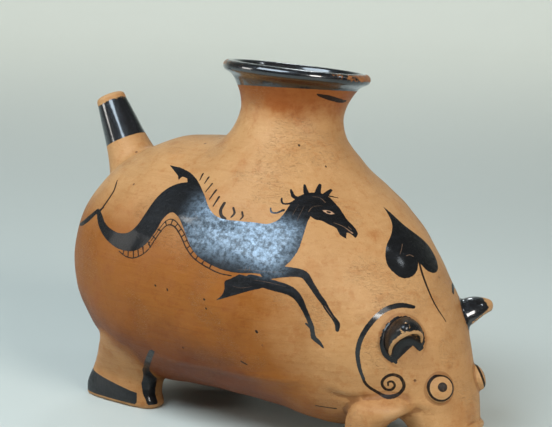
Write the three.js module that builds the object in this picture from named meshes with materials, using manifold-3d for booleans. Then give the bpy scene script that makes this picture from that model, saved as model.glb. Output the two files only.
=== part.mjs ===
// Terracotta feeding bottle in the shape of a pig: a fat hollow body whose head hangs down, a wide
// filling mouth on the back, a narrow drinking spout for a tail and four short feet.
// Millimetres, +X towards the head, +Z up. The vessel was fired as one piece, so it is one solid.
import * as THREE from 'three';
import { mergeVertices } from 'three/addons/utils/BufferGeometryUtils.js';
import Module from 'manifold-3d';

const wasm = await Module();
wasm.setup();

// Body
const WALL = 4.2;
const RUMP_X = -78;
const RUMP_Z = 52.4;
const RUMP_LENGTH = 51;
const BELLY_SQUARENESS = 2.2;
const BACK_SQUARENESS = 2;
// Cross-sections from the barrel to the snout: where each meets the side view's top and bottom
// lines, and its half width.
const BARREL = [
  { top: [-23, 90.2], bottom: [-30.8, 6.6], half: 46 },
  { top: [5.6, 87.6], bottom: [-1.6, 8.2], half: 46 },
  { top: [28.6, 81.6], bottom: [17.5, 7.2], half: 43 },
  { top: [47.9, 66.4], bottom: [33.5, 4.8], half: 33.4 },
  { top: [62.1, 47], bottom: [46.5, 9.4], half: 23.4 },
  { top: [70.4, 28], bottom: [54, 10.6], half: 16.4 },
  { top: [74.6, 9.2], bottom: [59.2, 2.6], half: 13.2 },
];
const BARREL_STEPS = 19;
const RUMP_STEPS = 8;
const BODY_SIDES = 40;

// Snout: a flat disc with a raised edge and two nostrils
const SNOUT_FLARE = 1.1;
const SNOUT_START = 0.965;
const NOSTRIL_RADIUS = 1.7;
const NOSTRIL_DEPTH = 3;
const NOSTRIL_SPREAD = 4.2;

// Cavity
const CAVITY_END = 0.64;
const CAVITY_TAPER = 0.16;
const CAVITY_SIDES = 24;

// Neck, measured up from its foot inside the back
const NECK_FOOT = [-0.7, -0.4, 72];
const NECK_LEAN_FORWARD = THREE.MathUtils.degToRad(1.4);
const NECK_LEAN_SIDE = THREE.MathUtils.degToRad(6.6);
const NECK_SIDES = 36;
const MOUTH_RADIUS = 24;
const THROAT_RADIUS = 16.8;
const THROAT_HEIGHT = 28.6;
const LIP_HEIGHT = 44.2;
const LIP_THICKNESS = 3.4;
const NECK_ROOT_RADIUS = 37.6;
const NECK_ROOT_HEIGHT = 6;
// The neck's skirt sits a little further back than its axis, up to where it starts to narrow.
const NECK_ROOT_BACK = 2.6;
const NECK_ROOT_TOP = 20;
const NECK_BORE_RADIUS = THROAT_RADIUS - WALL;

// Spout
const SPOUT_FOOT = [-60, 0, 66];
const SPOUT_TIP = [-77.4, 0, 99.2];
const SPOUT_TIP_RADIUS = 5.1;
const SPOUT_MIDDLE_RADIUS = 7.3;
const SPOUT_ROOT_RADIUS = 10.5;
const SPOUT_BORE_RADIUS = 2;
const SPOUT_SIDES = 24;

// Legs: centre and half sizes along and across the body, from the sole up to inside the body
const HIND_LEG = [
  { height: 0, at: [-48.4, 23.4], half: [14.8, 5.6] },
  { height: 1.2, at: [-48.4, 23.4], half: [15.3, 6] },
  { height: 5, at: [-49, 23], half: [14.4, 6.4] },
  { height: 10, at: [-47.8, 21.9], half: [13.4, 7.3] },
  { height: 16, at: [-43.8, 22.4], half: [13.6, 9.8] },
  { height: 22, at: [-39.8, 23.6], half: [14, 12] },
  { height: 27, at: [-36.4, 25], half: [14, 12.4] },
  { height: 34, at: [-36, 24], half: [11, 10] },
];
const FRONT_LEG = [
  { height: 0, at: [49.8, 21.4], half: [7.2, 6] },
  { height: 1.2, at: [49.8, 21.4], half: [7.6, 6.4] },
  { height: 4, at: [49.4, 21.4], half: [6.5, 5.9] },
  { height: 9, at: [48.8, 21.2], half: [5.5, 5.8] },
  { height: 12, at: [49, 21], half: [5.7, 6.2] },
  { height: 15.5, at: [51.2, 20.4], half: [7.5, 7] },
  { height: 19.5, at: [54, 18.4], half: [9, 7.8] },
  { height: 24, at: [53.6, 14], half: [6, 6] },
];
const LEG_SQUARENESS = 3.6;
const LEG_SIDES = 20;

// Ears and eyes. The animal's right ear stands higher than its left one, and its right eye higher too.
const EAR_ROOT = [56.9, 14.7, 37.3];
const EAR_TIP = [65, 26.4, 46.4];
const EAR_LIFT = 1.4;
const EAR_HALF_WIDTH = 6.4;
const EAR_HALF_THICKNESS = 5.7;
const EAR_SIDES = 14;
// The hollow in its front: the middle and the reach across, out of and along the ear.
const EAR_CUP_AT = [-3.2, 4.8, 7.2];
const EAR_CUP_REACH = [5.9, 5.8, 9];
const EYE_AT = [68.6, 11, 24.6];
const EYE_LIFT = 0.8;
const EYE_AXIS = [0.66, 0.66, 0.36];
const EYE_RADIUS = 4.3;
const EYE_RISE = 2.2;
const EYE_SINK = 4;
const EYE_SIDES = 16;

const UP = new THREE.Vector3(0, 0, 1);

function solid(geometry) {
  const plain = geometry.clone();
  plain.deleteAttribute('normal');
  plain.deleteAttribute('uv');
  const merged = mergeVertices(plain, 1e-4);
  return new wasm.Manifold(
    new wasm.Mesh({
      numProp: 3,
      vertProperties: new Float32Array(merged.attributes.position.array),
      triVerts: new Uint32Array(merged.index.array),
    }),
  );
}

// LatheGeometry turns about Y: this stands it up along Z.
function latheUp(profile, sides) {
  const points = profile.map(([radius, height]) => new THREE.Vector2(radius, height));
  return new THREE.LatheGeometry(points, sides).rotateX(Math.PI / 2);
}

function superellipse(angle, power) {
  const reach = Math.abs(Math.cos(angle)) ** power + Math.abs(Math.sin(angle)) ** power;
  return reach ** (-1 / power);
}

// Moves every vertex of a geometry that stands along Z.
function reshape(geometry, move) {
  const position = geometry.attributes.position;
  const point = new THREE.Vector3();
  for (let i = 0; i < position.count; i += 1) {
    point.fromBufferAttribute(position, i);
    move(point);
    position.setXYZ(i, point.x, point.y, point.z);
  }
  return geometry;
}

const topLine = new THREE.SplineCurve(BARREL.map(({ top }) => new THREE.Vector2(...top)));
const bottomLine = new THREE.SplineCurve(BARREL.map(({ bottom }) => new THREE.Vector2(...bottom)));
const widthLine = new THREE.SplineCurve(BARREL.map(({ half }, i) => new THREE.Vector2(i, half)));

// A section at t: negative from the rump's pole at -1 to the barrel at 0, then on to the snout at 1.
function sectionAt(t) {
  const u = Math.max(t, 0);
  const top = topLine.getPoint(u);
  const bottom = bottomLine.getPoint(u);
  const middle = top.clone().add(bottom).multiplyScalar(0.5);
  if (t < 0) {
    const pole = new THREE.Vector2(RUMP_X, RUMP_Z);
    middle.lerp(pole, -t);
  }
  return {
    middle,
    rise: top.clone().sub(bottom).normalize(),
    halfHeight: top.distanceTo(bottom) / 2,
    halfWidth: widthLine.getPoint(u).y,
  };
}

// The animal's skin, or the cavity when it is drawn in by the wall. The lathe's height is t, and its
// radius is the share of the section that is filled.
function animal(profile, sides, inset) {
  return reshape(latheUp(profile, sides), (point) => {
    const { middle, rise, halfHeight, halfWidth } = sectionAt(point.z);
    const share = Math.hypot(point.x, point.y);
    const angle = Math.atan2(-point.y, point.x);
    const power = Math.cos(angle) < 0 ? BELLY_SQUARENESS : BACK_SQUARENESS;
    const reach = share * superellipse(angle, power);
    const up = Math.cos(angle) * reach * (halfHeight - inset);
    const across = Math.sin(angle) * reach * (halfWidth - inset);
    point.set(middle.x + rise.x * up, across, middle.y + rise.y * up);
  });
}

function roundedStart(from, to, steps) {
  return Array.from({ length: steps }, (_, i) => {
    const turn = (i / steps) * (Math.PI / 2);
    return [Math.sin(turn), THREE.MathUtils.lerp(from, to, 1 - Math.cos(turn))];
  });
}

function bodyProfile() {
  const barrel = Array.from({ length: BARREL_STEPS + 1 }, (_, i) => [1, (i / BARREL_STEPS) * SNOUT_START]);
  const middle = (SNOUT_START + 1) / 2;
  const snout = [[SNOUT_FLARE, middle], [SNOUT_FLARE, 1], [0, 1]];
  return [...roundedStart(-1, 0, RUMP_STEPS), ...barrel, ...snout];
}

function cavityProfile() {
  const rear = roundedStart(WALL / RUMP_LENGTH - 1, 0, RUMP_STEPS);
  const full = CAVITY_END - CAVITY_TAPER;
  const barrel = Array.from({ length: RUMP_STEPS + 1 }, (_, i) => [1, (i / RUMP_STEPS) * full]);
  const front = roundedStart(CAVITY_END, full, RUMP_STEPS / 2).reverse();
  return [...rear, ...barrel, ...front];
}

// Leans the neck's axis, and tips its rings with it only above the root, which sits level on the back.
function neckLean(geometry, skirtBack) {
  const lean = new THREE.Quaternion().setFromEuler(new THREE.Euler(-NECK_LEAN_SIDE, NECK_LEAN_FORWARD, 0));
  const tip = new THREE.Quaternion();
  const foot = new THREE.Vector3(...NECK_FOOT);
  return reshape(geometry, (point) => {
    const share = THREE.MathUtils.smoothstep(point.z, NECK_ROOT_HEIGHT, THROAT_HEIGHT);
    const centre = new THREE.Vector3(0, 0, point.z).applyQuaternion(lean).add(foot);
    centre.x -= skirtBack * (1 - THREE.MathUtils.smoothstep(point.z, NECK_ROOT_HEIGHT, NECK_ROOT_TOP));
    tip.identity().slerp(lean, share);
    point.setZ(0).applyQuaternion(tip).add(centre);
  });
}

function neckSkin() {
  const lipFoot = LIP_HEIGHT - LIP_THICKNESS;
  return neckLean(latheUp([
    [0, 0],
    [NECK_ROOT_RADIUS, 0],
    [NECK_ROOT_RADIUS - 3.6, NECK_ROOT_HEIGHT - 0.6],
    [NECK_ROOT_RADIUS - 7.8, NECK_ROOT_HEIGHT + 4.6],
    [THROAT_RADIUS + 8.8, THROAT_HEIGHT - 13.4],
    [THROAT_RADIUS + 4.6, THROAT_HEIGHT - 9.4],
    [THROAT_RADIUS + 1.6, THROAT_HEIGHT - 5.4],
    [THROAT_RADIUS, THROAT_HEIGHT],
    [THROAT_RADIUS + 0.6, THROAT_HEIGHT + 4.6],
    [THROAT_RADIUS + 2.2, THROAT_HEIGHT + 8.2],
    [MOUTH_RADIUS - 1.6, lipFoot],
    [MOUTH_RADIUS - 0.1, lipFoot + 0.9],
    [MOUTH_RADIUS, lipFoot + 1.9],
    [MOUTH_RADIUS - 0.7, LIP_HEIGHT - 0.5],
    [MOUTH_RADIUS - 2, LIP_HEIGHT],
    [0, LIP_HEIGHT],
  ], NECK_SIDES), NECK_ROOT_BACK);
}

function neckBore() {
  return neckLean(latheUp([
    [0, 0],
    [NECK_BORE_RADIUS + 5, 0],
    [NECK_BORE_RADIUS + 3, THROAT_HEIGHT - 13.4],
    [NECK_BORE_RADIUS, THROAT_HEIGHT - 5.4],
    [NECK_BORE_RADIUS, THROAT_HEIGHT + 2],
    [NECK_BORE_RADIUS + 1.8, THROAT_HEIGHT + 7],
    [MOUTH_RADIUS - 6.4, LIP_HEIGHT - 3.6],
    [MOUTH_RADIUS - 3.6, LIP_HEIGHT - 1.2],
    [MOUTH_RADIUS - 2.8, LIP_HEIGHT + 0.4],
    [0, LIP_HEIGHT + 0.4],
  ], NECK_SIDES), 0);
}

// Lays a geometry that stands along Z between two points.
function between(geometry, from, to) {
  const start = new THREE.Vector3(...from);
  const axis = new THREE.Vector3(...to).sub(start).normalize();
  const turn = new THREE.Quaternion().setFromUnitVectors(UP, axis);
  return geometry.applyQuaternion(turn).translate(start.x, start.y, start.z);
}

function spoutSkin() {
  const length = new THREE.Vector3(...SPOUT_FOOT).distanceTo(new THREE.Vector3(...SPOUT_TIP));
  return between(latheUp([
    [0, 0],
    [SPOUT_ROOT_RADIUS, 0],
    [SPOUT_ROOT_RADIUS, length * 0.2],
    [SPOUT_MIDDLE_RADIUS + 1.2, length * 0.38],
    [SPOUT_MIDDLE_RADIUS, length * 0.56],
    [SPOUT_TIP_RADIUS + 0.6, length * 0.85],
    [SPOUT_TIP_RADIUS, length * 0.95],
    [SPOUT_TIP_RADIUS - 1, length],
    [0, length],
  ], SPOUT_SIDES), SPOUT_FOOT, SPOUT_TIP);
}

function spoutBore() {
  const length = new THREE.Vector3(...SPOUT_FOOT).distanceTo(new THREE.Vector3(...SPOUT_TIP));
  return between(latheUp([
    [0, -1],
    [SPOUT_BORE_RADIUS, -1],
    [SPOUT_BORE_RADIUS, length + 1],
    [0, length + 1],
  ], SPOUT_SIDES / 2), SPOUT_FOOT, SPOUT_TIP);
}

function leg(rings, side) {
  const profile = rings.map((ring, i) => [1, i]);
  const column = latheUp([[0, 0], ...profile, [0, rings.length - 1]], LEG_SIDES);
  return reshape(column, (point) => {
    const { height, at, half } = rings[Math.round(point.z)];
    const angle = Math.atan2(point.y, point.x);
    const reach = Math.hypot(point.x, point.y) * superellipse(angle, LEG_SQUARENESS);
    const across = side * at[1] + Math.sin(angle) * reach * half[1];
    point.set(at[0] + Math.cos(angle) * reach * half[0], across, height);
  });
}

// A point given for the left side, or its match on the right, which stands higher by twice the lift.
function onSide([x, y, z], side, lift) {
  return new THREE.Vector3(x, y * side, z - side * lift);
}

function ear(side) {
  const root = onSide(EAR_ROOT, side, 0);
  const tip = onSide(EAR_TIP, side, EAR_LIFT);
  const length = root.distanceTo(tip);
  const lengthwise = tip.clone().sub(root).normalize();
  const facing = new THREE.Vector3(1, 0, -0.25);
  facing.addScaledVector(lengthwise, -facing.dot(lengthwise)).normalize();
  const broad = new THREE.Vector3().crossVectors(facing, lengthwise);
  const frame = new THREE.Matrix4().makeBasis(broad, facing, lengthwise).setPosition(root);
  const leaf = latheUp([
    [0, -2],
    [0.8, -2],
    [0.96, length * 0.25],
    [1, length * 0.45],
    [0.78, length * 0.7],
    [0.42, length * 0.9],
    [0, length],
  ], EAR_SIDES).scale(EAR_HALF_WIDTH, EAR_HALF_THICKNESS, 1).applyMatrix4(frame);
  const [cupAcross, cupOut, cupAlong] = EAR_CUP_AT;
  const cup = new THREE.SphereGeometry(1, EAR_SIDES, 8)
    .scale(...EAR_CUP_REACH)
    .translate(side * cupAcross, cupOut, cupAlong)
    .applyMatrix4(frame);
  return solid(leaf).subtract(solid(cup));
}

function eye(side) {
  const axis = onSide(EYE_AXIS, side, 0).normalize();
  const from = onSide(EYE_AT, side, EYE_LIFT).addScaledVector(axis, -EYE_SINK);
  const disc = latheUp([
    [0, 0],
    [EYE_RADIUS, 0],
    [EYE_RADIUS, EYE_SINK + EYE_RISE * 0.5],
    [EYE_RADIUS * 0.75, EYE_SINK + EYE_RISE],
    [0, EYE_SINK + EYE_RISE * 1.2],
  ], EYE_SIDES);
  return solid(between(disc, from.toArray(), from.clone().add(axis).toArray()));
}

function nostril(side) {
  const { middle, rise } = sectionAt(1);
  const outward = new THREE.Vector3(rise.y, 0, -rise.x);
  const face = new THREE.Vector3(middle.x, side * NOSTRIL_SPREAD, middle.y);
  const bottom = face.clone().addScaledVector(outward, -NOSTRIL_DEPTH);
  const dimple = latheUp([
    [0, 0],
    [NOSTRIL_RADIUS * 0.6, 0],
    [NOSTRIL_RADIUS, NOSTRIL_DEPTH],
    [NOSTRIL_RADIUS, NOSTRIL_DEPTH * 3],
    [0, NOSTRIL_DEPTH * 3],
  ], EYE_SIDES / 2);
  return solid(between(dimple, bottom.toArray(), face.toArray()));
}

function vesselSolid() {
  let vessel = solid(animal(bodyProfile(), BODY_SIDES, 0))
    .add(solid(neckSkin()))
    .add(solid(spoutSkin()));
  for (const side of [-1, 1]) {
    vessel = vessel
      .add(solid(leg(HIND_LEG, side)))
      .add(solid(leg(FRONT_LEG, side)))
      .add(ear(side))
      .add(eye(side))
      .subtract(nostril(side));
  }
  return vessel
    .subtract(solid(animal(cavityProfile(), CAVITY_SIDES, WALL)))
    .subtract(solid(neckBore()))
    .subtract(solid(spoutBore()));
}

// The finished solid as a flat-shaded geometry, centred over its own footprint box with the soles
// on the ground.
function placed(manifold) {
  const mesh = manifold.getMesh();
  const corners = new Float32Array(mesh.numVert * 3);
  for (let i = 0; i < mesh.numVert; i += 1) {
    corners.set(mesh.vertProperties.subarray(i * mesh.numProp, i * mesh.numProp + 3), i * 3);
  }
  const indexed = new THREE.BufferGeometry();
  indexed.setAttribute('position', new THREE.BufferAttribute(corners, 3));
  indexed.setIndex(Array.from(mesh.triVerts));
  indexed.computeBoundingBox();
  const { min, max } = indexed.boundingBox;
  indexed.translate(-(min.x + max.x) / 2, -(min.y + max.y) / 2, -min.z);
  indexed.computeVertexNormals();
  return indexed;
}

const part = new THREE.Group();
part.name = 'feeding_bottle';

const vessel = new THREE.Mesh(
  placed(vesselSolid()),
  new THREE.MeshStandardMaterial({ color: 0xb9835a, roughness: 0.72, metalness: 0 }),
);
vessel.name = 'vessel';
part.add(vessel);

export default part;
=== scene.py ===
import math
from types import SimpleNamespace

import bmesh
import bpy
import numpy as np
from mathutils import Matrix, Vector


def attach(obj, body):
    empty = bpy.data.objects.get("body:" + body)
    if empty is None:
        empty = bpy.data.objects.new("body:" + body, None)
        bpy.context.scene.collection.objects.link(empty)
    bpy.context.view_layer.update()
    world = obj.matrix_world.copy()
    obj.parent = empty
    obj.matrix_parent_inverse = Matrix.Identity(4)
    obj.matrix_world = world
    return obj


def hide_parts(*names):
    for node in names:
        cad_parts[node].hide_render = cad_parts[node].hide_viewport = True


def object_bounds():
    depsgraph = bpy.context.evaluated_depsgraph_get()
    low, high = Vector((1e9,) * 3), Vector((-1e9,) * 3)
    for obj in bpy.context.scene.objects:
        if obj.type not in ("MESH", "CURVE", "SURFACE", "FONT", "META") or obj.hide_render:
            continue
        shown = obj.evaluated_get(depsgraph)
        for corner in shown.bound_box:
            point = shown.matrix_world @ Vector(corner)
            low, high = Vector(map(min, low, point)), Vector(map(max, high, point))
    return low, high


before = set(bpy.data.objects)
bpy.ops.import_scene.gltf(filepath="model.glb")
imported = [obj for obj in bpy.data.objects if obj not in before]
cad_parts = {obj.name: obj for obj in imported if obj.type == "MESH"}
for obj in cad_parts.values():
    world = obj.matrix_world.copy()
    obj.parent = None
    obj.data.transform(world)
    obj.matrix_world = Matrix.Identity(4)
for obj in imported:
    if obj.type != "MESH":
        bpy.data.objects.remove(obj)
CAD_BOX = [[float(c) for c in corner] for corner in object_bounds()]
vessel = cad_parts["vessel"]
# From the middle that the sizes below are measured from to the frame's middle.
SHIFT = np.array((2.8386, 0, 0))

# Sizes in millimetres, with x towards the head, y to the animal's left and z up from the floor.
WALL = 4.2
RUMP_POLE = (-78, 52.4)
# Top (x, z), bottom (x, z) and half width of the body's sections, from the rump to the snout.
SECTIONS = [
    ((-23, 90.2), (-30.8, 6.6), 46),
    ((5.6, 87.6), (-1.6, 8.2), 46),
    ((28.6, 81.6), (17.5, 7.2), 43),
    ((47.9, 66.4), (33.5, 4.8), 33.4),
    ((62.1, 47), (46.5, 9.4), 23.4),
    ((70.4, 28), (54, 10.6), 16.4),
    ((74.6, 9.2), (59.2, 2.6), 13.2),
]
# Shares of the body's length: where its room ends, and where the snout's rim flares.
CAVITY_END = 0.64
SNOUT_FLARE, SNOUT_FLARE_FROM, SNOUT_FLARE_TO = 0.1, 0.955, 0.98
ROUND_BACK, SQUARER_BELLY = 2, 0.2
NOSTRIL_RADIUS = 1.7
NOSTRIL_SPREAD = 4.2
NECK_FOOT = np.array((-0.7, -0.4, 72))
NECK_LEAN_FORWARD = math.radians(1.4)
NECK_LEAN_SIDE = math.radians(6.6)
LIP_HEIGHT = 44.2
SKIRT_BACK = 2.6
LIP_RADIUS = 1.8
MOUTH_RADIUS = 24
THROAT_HEIGHT = 28.6
# Radius and height up the neck and its bore.
NECK_OUTER = [
    (36.8, 0), (33.4, 5.4), (29.4, 10.6), (25.4, 15.2), (21.3, 19.2), (18.4, 23.2), (16.8, THROAT_HEIGHT),
    (17.4, 33.2), (19.0, 36.8), (20.8, 39.6),
]
NECK_INNER = [
    (18, -2), (17.4, 4), (15.4, 15.2), (12.8, 23.2), (12.6, 30.6), (14.4, 35.6), (17.4, 40.2), (19.8, 42.6),
    (20.6, 45.5),
]
SPOUT_FOOT = np.array((-60.0, 0, 66))
SPOUT_TIP = np.array((-77.4, 0, 99.2))
SPOUT_OUTER = [(11.5, 0), (10.9, 6), (9, 12.5), (7.9, 17), (7.2, 21), (6.4, 27), (5.7, 32), (5.15, 35.4)]
SPOUT_RIM_RADIUS, SPOUT_RIM_ROUND = 3.75, 1.4
SPOUT_BORE = 2.0
# Height, x, y, half length and half width of a leg's rings, from the sole up.
LEG_SQUARENESS = 3.2
HIND_LEG = [
    (0, -48.4, 23.4, 15.2, 5.9), (2, -48.4, 23.4, 15.3, 6), (5, -49, 23, 14.4, 6.4),
    (10, -47.8, 21.9, 13.4, 7.3), (16, -43.8, 22.4, 13.6, 9.8), (22, -39.8, 23.6, 14, 12),
    (27, -36.4, 25, 14, 12.4), (34, -36, 24, 11, 10),
]
FRONT_LEG = [
    (0, 49.8, 21.4, 7.5, 6.3), (2, 49.8, 21.4, 7.5, 6.3), (4, 49.4, 21.4, 6.5, 5.9),
    (9, 48.8, 21.2, 5.5, 5.8), (12, 49, 21, 5.7, 6.2), (15.5, 51.2, 20.4, 7.5, 7),
    (19.5, 54, 18.4, 9, 7.8), (24, 53.6, 14, 6, 6),
]
EAR_ROOT = np.array((56.9, 14.7, 37.3))
EAR_TIP = np.array((65, 26.4, 46.4))
EAR_LIFT = 1.4
EAR_HALF_WIDTH, EAR_HALF_THICKNESS = 6.3, 5.5
EAR_LENGTH = 16.4
EAR_PROFILE = [(-2, 0.8), (0, 0.9), (4, 1.0), (8, 0.98), (11.5, 0.8), (14.2, 0.5), (EAR_LENGTH, 0.16)]
EAR_FACING = np.array((1, 0, -0.25))
EAR_CUP_AT = (-3.2, 4.8, 7.2)
EAR_CUP_REACH = (5.9, 5.8, 9)
FAR_EAR_STRETCH = 1.08
EYE_AT = np.array((68.6, 11, 24.6))
EYE_LIFT = 0.8
EYE_AXIS = np.array((0.66, 0.66, 0.36))
EYE_RADIUS = 4.3
EYE_RISE, EYE_CROWN = 2.6, 1.5
# Where each joined piece can be felt, as two corners, and the width of the fillet round its root.
NECK_ROOM, NECK_FILLET = ((-48, -46, 64), (42, 46, 130)), 4.5
SPOUT_ROOM, SPOUT_FILLET = ((-92, -18, 54), (-40, 18, 112)), 3.0
HIND_LEG_ROOM, HIND_LEG_FILLET = ((-72, -44, -6), (-14, 44, 44)), 2.2
FRONT_LEG_ROOM, FRONT_LEG_FILLET = ((34, -38, -6), (72, 38, 36)), 1.8
EAR_ROOM, EAR_FILLET = ((46, -40, 26), (78, 40, 60)), 1.8
EYE_ROOM, EYE_FILLET = ((58, -24, 12), (82, 24, 38)), 0.7
NOSTRIL_ROOM = ((50, -16, -8), (86, 16, 22))
BORE_ROOM, BORE_FILLET = ((-30, -30, 60), (30, 30, 130)), 3
PIPE_ROOM = ((-92, -8, 50), (-44, 8, 112))
# How far the clay's cut edges are rounded.
SNOUT_EDGE, CAVITY_EDGE, CUT_EDGE, RIM_EDGE = 1.6, 14, 0.8, 0.9
FAR_AWAY = 50.0


def spline(points, count):
    """Points on a uniform Catmull-Rom curve through the given ones."""
    points = np.asarray(points, float)
    last = len(points) - 1
    place = np.linspace(0, last, count)
    i = np.minimum(place.astype(int), last - 1)
    w = (place - i)[:, None]
    a, b = points[np.maximum(i - 1, 0)], points[i]
    c, d = points[i + 1], points[np.minimum(i + 2, last)]
    square, cube = 2 * a - 5 * b + 4 * c - d, 3 * b - a - 3 * c + d
    return 0.5 * (2 * b + (c - a) * w + square * w ** 2 + cube * w ** 3)


def ease(value, low, high):
    """0 at the low value, 1 at the high one and smooth in between, which may run backwards."""
    share = np.clip((value - low) / (high - low), 0, 1)
    return share * share * (3 - 2 * share)


def soften(values, width):
    """Running mean along a table, which keeps its ends."""
    before, after = 2 * values[:1] - values[width:0:-1], 2 * values[-1:] - values[-2:-width - 2:-1]
    padded = np.concatenate([before, values, after])
    kernel = np.hanning(2 * width + 1)
    kernel /= kernel.sum()
    return np.stack([np.convolve(column, kernel, "valid") for column in padded.T], 1)


def smin(a, b, reach):
    """The lower of two distances, with the crease between them filled over a reach."""
    near = np.clip(reach - np.abs(a - b), 0, None)
    return np.minimum(a, b) - near * near / (4 * reach)


def smax(a, b, reach):
    """The higher of two distances, with the edge between them rounded over a reach."""
    return -smin(-a, -b, reach)


def unit(vector):
    """The vector's direction, one long."""
    vector = np.asarray(vector, float)
    return vector / np.linalg.norm(vector)


# The body's sections, and how it runs from each to the next.
SECTION_COUNT, SECTION_SOFTENING = 121, 7
SECTION_TABLE = soften(spline([(*top, *bottom, half) for top, bottom, half in SECTIONS], SECTION_COUNT),
                       SECTION_SOFTENING)
TOPS, BOTTOMS, HALF_WIDTHS = SECTION_TABLE[:, :2], SECTION_TABLE[:, 2:4], SECTION_TABLE[:, 4]
MIDDLES = (TOPS + BOTTOMS) / 2
HALF_HEIGHTS = np.linalg.norm(TOPS - BOTTOMS, axis=1) / 2
RISES = (TOPS - BOTTOMS) / (2 * HALF_HEIGHTS)[:, None]
FORWARDS = np.stack([RISES[:, 1], -RISES[:, 0]], 1)
LENGTHS = np.concatenate([[0], np.cumsum(np.linalg.norm(np.diff(MIDDLES, axis=0), axis=1))])
TO_POLE = np.array(RUMP_POLE) - MIDDLES[0]
RUMP_LENGTH = np.linalg.norm(TO_POLE)


def power_norm(u, v, power):
    """How far out (u, v) is, 1 on the rim of a superellipse, and the slope of that in u and v."""
    au, av = np.abs(u) + 1e-9, np.abs(v) + 1e-9
    q = (au ** power + av ** power) ** (1 / power)
    return q, np.sign(u) * (au / q) ** (power - 1), np.sign(v) * (av / q) ** (power - 1)


def section_of(p):
    """Where each point lies along the animal: section values, height and width in it, share of the rump."""
    xz = p[:, [0, 2]]
    ahead = xz @ FORWARDS.T - (MIDDLES * FORWARDS).sum(1)
    last = len(MIDDLES) - 1
    j = np.clip((ahead >= 0).sum(1) - 1, 0, last - 1)
    row = np.arange(len(p))
    a, b = ahead[row, j], ahead[row, j + 1]
    w = np.clip(a / np.where(np.abs(a - b) < 1e-9, 1, a - b), 0, 1)
    xi = np.clip(-ahead[:, 0] / RUMP_LENGTH, 0, None) * (ahead[:, 0] < 0)
    w = np.where(xi > 0, 0, w)

    def mix(table):
        return table[j] * (1 - w)[:, None] + table[j + 1] * w[:, None]

    middle = mix(MIDDLES) + np.outer(xi, TO_POLE)
    rise = mix(RISES)
    half_height = mix(HALF_HEIGHTS[:, None])[:, 0]
    half_width = mix(HALF_WIDTHS[:, None])[:, 0]
    flare = 1 + SNOUT_FLARE * ease((j + w) / last, SNOUT_FLARE_FROM, SNOUT_FLARE_TO)
    up = ((xz - middle) * rise).sum(1)
    return SimpleNamespace(
        along=np.interp(j + w, np.arange(last + 1), LENGTHS), rump=xi, up=up,
        half_height=half_height * flare, half_width=half_width * flare,
        past_end=ahead[:, -1], past_cavity=ahead[:, int(CAVITY_END * last)])


def body_field(p, at):
    """Distance from the body's skin, with legs, head pieces, neck and spout left out."""
    u, v = at.up / at.half_height, p[:, 1] / at.half_width
    power = ROUND_BACK + SQUARER_BELLY * ease(-u, -0.1, 0.5)
    q, du, dv = power_norm(u, v, power)
    rho = np.hypot(at.rump, q)
    share = q / np.maximum(rho, 1e-6)
    slope = np.sqrt((at.rump / np.maximum(rho, 1e-6) / RUMP_LENGTH) ** 2
                    + (share * du / at.half_height) ** 2 + (share * dv / at.half_width) ** 2)
    return (rho - 1) / np.maximum(slope, 1e-4)


def outline_field(r, h, outline):
    """Signed distance to a closed outline in the half plane of a turned piece."""
    a = np.asarray(outline, float)
    b = np.roll(a, -1, 0)
    edge = b - a
    best = np.full(len(r), 1e9)
    inside = np.zeros(len(r), bool)
    for (ax, ay), (ex, ey), (_, by) in zip(a, edge, b):
        dx, dy = r - ax, h - ay
        w = np.clip((dx * ex + dy * ey) / max(ex * ex + ey * ey, 1e-12), 0, 1)
        best = np.minimum(best, (dx - w * ex) ** 2 + (dy - w * ey) ** 2)
        if ay != by:
            cross = (ay > h) != (by > h)
            inside ^= cross & (r < ax + (h - ay) / (by - ay) * ex)
    return np.where(inside, -1, 1) * np.sqrt(best)


def rotation(side, forward):
    """A lean to the left and then forward."""
    cs, ss, cf, sf = math.cos(side), math.sin(side), math.cos(forward), math.sin(forward)
    lean_side = np.array(((1, 0, 0), (0, cs, ss), (0, -ss, cs)))
    lean_forward = np.array(((cf, 0, sf), (0, 1, 0), (-sf, 0, cf)))
    return lean_side @ lean_forward


NECK_AXIS = rotation(NECK_LEAN_SIDE, NECK_LEAN_FORWARD) @ np.array((0, 0, 1.0))


def quarter(radius, height, rounding, start, count):
    """A rim's rounded edge in the half plane, from an angle up to its top."""
    return [(radius + rounding * math.cos(a), height + rounding * math.sin(a))
            for a in np.linspace(start, math.pi / 2, count)]


LIP_UNDERCUT = -1.25
LIP_ARC = quarter(MOUTH_RADIUS - LIP_RADIUS, LIP_HEIGHT - LIP_RADIUS, LIP_RADIUS, LIP_UNDERCUT, 12)
NECK_OUTLINE = [(0, 0), *spline(NECK_OUTER, 36), *LIP_ARC, (0, LIP_HEIGHT)]
BORE_OUTLINE = [(0, NECK_INNER[0][1]), *spline(NECK_INNER, 34), (0, NECK_INNER[-1][1])]
SPOUT_LENGTH = np.linalg.norm(SPOUT_TIP - SPOUT_FOOT)
SPOUT_AXIS = unit(SPOUT_TIP - SPOUT_FOOT)
TIP_ARC = quarter(SPOUT_RIM_RADIUS, SPOUT_LENGTH - SPOUT_RIM_ROUND, SPOUT_RIM_ROUND, 0, 8)
SPOUT_OUTLINE = [(0, 0), *spline(SPOUT_OUTER, 24), *TIP_ARC, (0, SPOUT_LENGTH)]


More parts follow.
